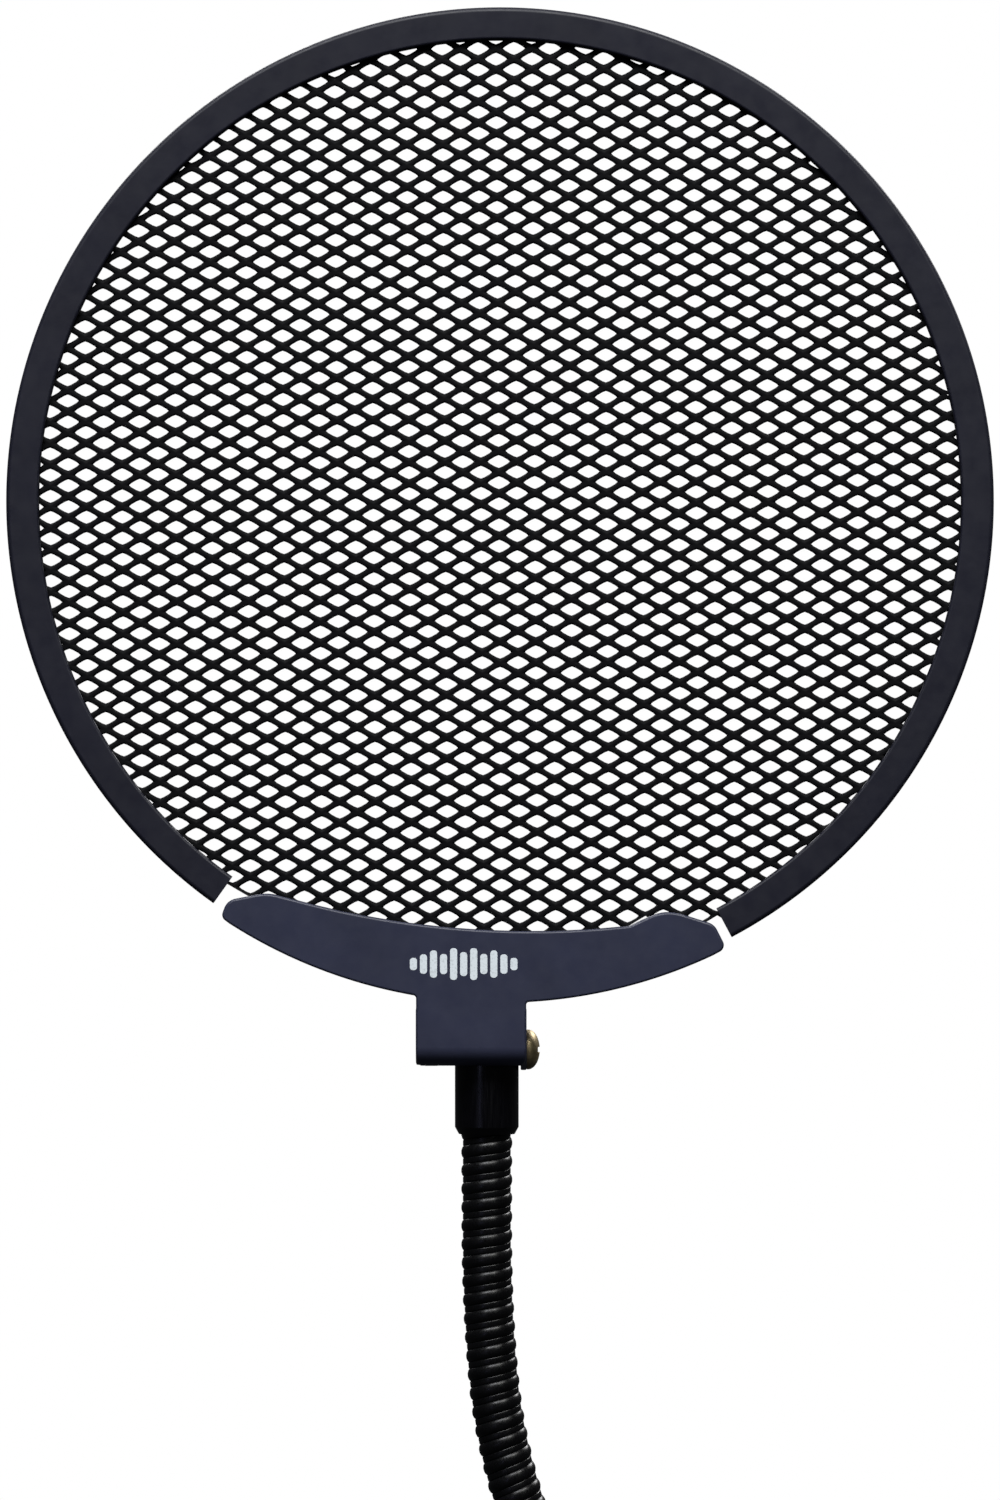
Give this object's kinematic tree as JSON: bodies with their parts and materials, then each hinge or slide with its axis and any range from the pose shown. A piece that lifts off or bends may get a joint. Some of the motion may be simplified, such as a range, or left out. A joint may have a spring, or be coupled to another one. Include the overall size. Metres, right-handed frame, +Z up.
{
  "type": "pop filter",
  "caption": "Round metal-mesh pop filter: open-rim screen in a tilting two-plate clip, on a flexible gooseneck with a screw clamp for a microphone stand.",
  "frame": {"origin": "middle of the clamp's grip, on the axis of the vertical stand tube that it holds", "axes": "+Z up along the stand tube; +X from the grip towards the clamp's knob; the screen's front faces -Y"},
  "size_m": [0.4038, 0.0375, 0.3525],
  "materials": {
    "rim_enamel": "fine matt blue-black enamel",
    "clip_enamel": "satin blue-black enamel",
    "mesh_enamel": "satin black enamel on expanded steel",
    "gloss_black": "gloss black",
    "neck_black": "gloss black wound steel wire",
    "dull_brass": "dull, slightly tarnished brass",
    "zinc_plate": "bright zinc plate",
    "bar_enamel": "satin black enamel",
    "black_rubber": "matt black rubber",
    "knob_plastic": "fine textured black plastic"
  },
  "bodies": {
    "clamp": {"clamp_frame": "bar_enamel", "clamp_weld_nut": "bar_enamel", "fixed_jaw_pad": "black_rubber", "neck_fixing_screw": "zinc_plate", "neck_lock_washer": "zinc_plate", "lower_ferrule": "gloss_black", "neck_section_1": "neck_black"},
    "neck_2": {"neck_section_2": "neck_black"},
    "neck_3": {"neck_section_3": "neck_black"},
    "neck_4": {"neck_section_4": "neck_black"},
    "neck_5": {"neck_section_5": "neck_black"},
    "neck_6": {"neck_section_6": "neck_black"},
    "neck_7": {"neck_section_7": "neck_black"},
    "neck_8": {"neck_section_8": "neck_black"},
    "neck_end": {"neck_section_9": "neck_black", "upper_ferrule": "gloss_black"},
    "head": {"screen_mesh": "mesh_enamel", "rim_trim": "rim_enamel", "clip_front_plate": "clip_enamel", "clip_back_plate": "clip_enamel", "clip_screw_left": "zinc_plate", "clip_screw_centre": "zinc_plate", "clip_screw_right": "zinc_plate", "pivot_screw": "dull_brass", "pivot_nut": "zinc_plate", "pivot_spring_washer": "zinc_plate", "pivot_plain_washer": "zinc_plate"},
    "foot": {"pressure_foot": "zinc_plate", "foot_pad": "black_rubber"},
    "screw": {"clamp_screw": "zinc_plate", "clamp_knob": "knob_plastic", "knob_cap": "knob_plastic"}
  },
  "joints": [
    {"name": "neck_bend_1", "type": "hinge", "parent": "clamp", "child": "neck_2", "pos_m": [-0.05945, 0, 0.00024], "axis": [0, 1, 0], "range_deg": [-25, 25]},
    {"name": "neck_sway_2", "type": "hinge", "parent": "neck_2", "child": "neck_3", "pos_m": [-0.09663, 0, 0.00482], "axis": [0.199, 0, 0.98], "range_deg": [-25, 25]},
    {"name": "neck_bend_3", "type": "hinge", "parent": "neck_3", "child": "neck_4", "pos_m": [-0.13265, 0, 0.0151], "axis": [0, 1, 0], "range_deg": [-25, 25]},
    {"name": "neck_sway_4", "type": "hinge", "parent": "neck_4", "child": "neck_5", "pos_m": [-0.16664, 0, 0.03085], "axis": [0.4896, 0, 0.872], "range_deg": [-25, 25]},
    {"name": "neck_bend_5", "type": "hinge", "parent": "neck_5", "child": "neck_6", "pos_m": [-0.19778, 0, 0.05167], "axis": [0, 1, 0], "range_deg": [-25, 25]},
    {"name": "neck_sway_6", "type": "hinge", "parent": "neck_6", "child": "neck_7", "pos_m": [-0.22494, 0, 0.07742], "axis": [0.7838, 0, 0.6211], "range_deg": [-25, 25]},
    {"name": "neck_bend_7", "type": "hinge", "parent": "neck_7", "child": "neck_8", "pos_m": [-0.24223, 0, 0.11045], "axis": [0, 1, 0], "range_deg": [-25, 25]},
    {"name": "neck_sway_8", "type": "hinge", "parent": "neck_8", "child": "neck_end", "pos_m": [-0.24682, 0, 0.14753], "axis": [0.9999, 0, 0.0149], "range_deg": [-25, 25]},
    {"name": "head_tilt", "type": "hinge", "parent": "neck_end", "child": "head", "pos_m": [-0.24685, 0, 0.17938], "axis": [1, 0, 0], "range_deg": [-90, 10]},
    {"name": "foot_travel", "type": "slide", "parent": "clamp", "child": "foot", "axis": [-1, 0, 0], "range_m": [-0.012, 0.02]},
    {"name": "clamp_screw_turn", "type": "hinge", "parent": "foot", "child": "screw", "pos_m": [0.03, 0, 0], "axis": [-1, 0, 0], "range_deg": [-3466, 5770]}
  ],
  "couplings": [
    {"joint": "clamp_screw_turn", "follows": "foot_travel", "rad_per_m": 5026.5}
  ]
}
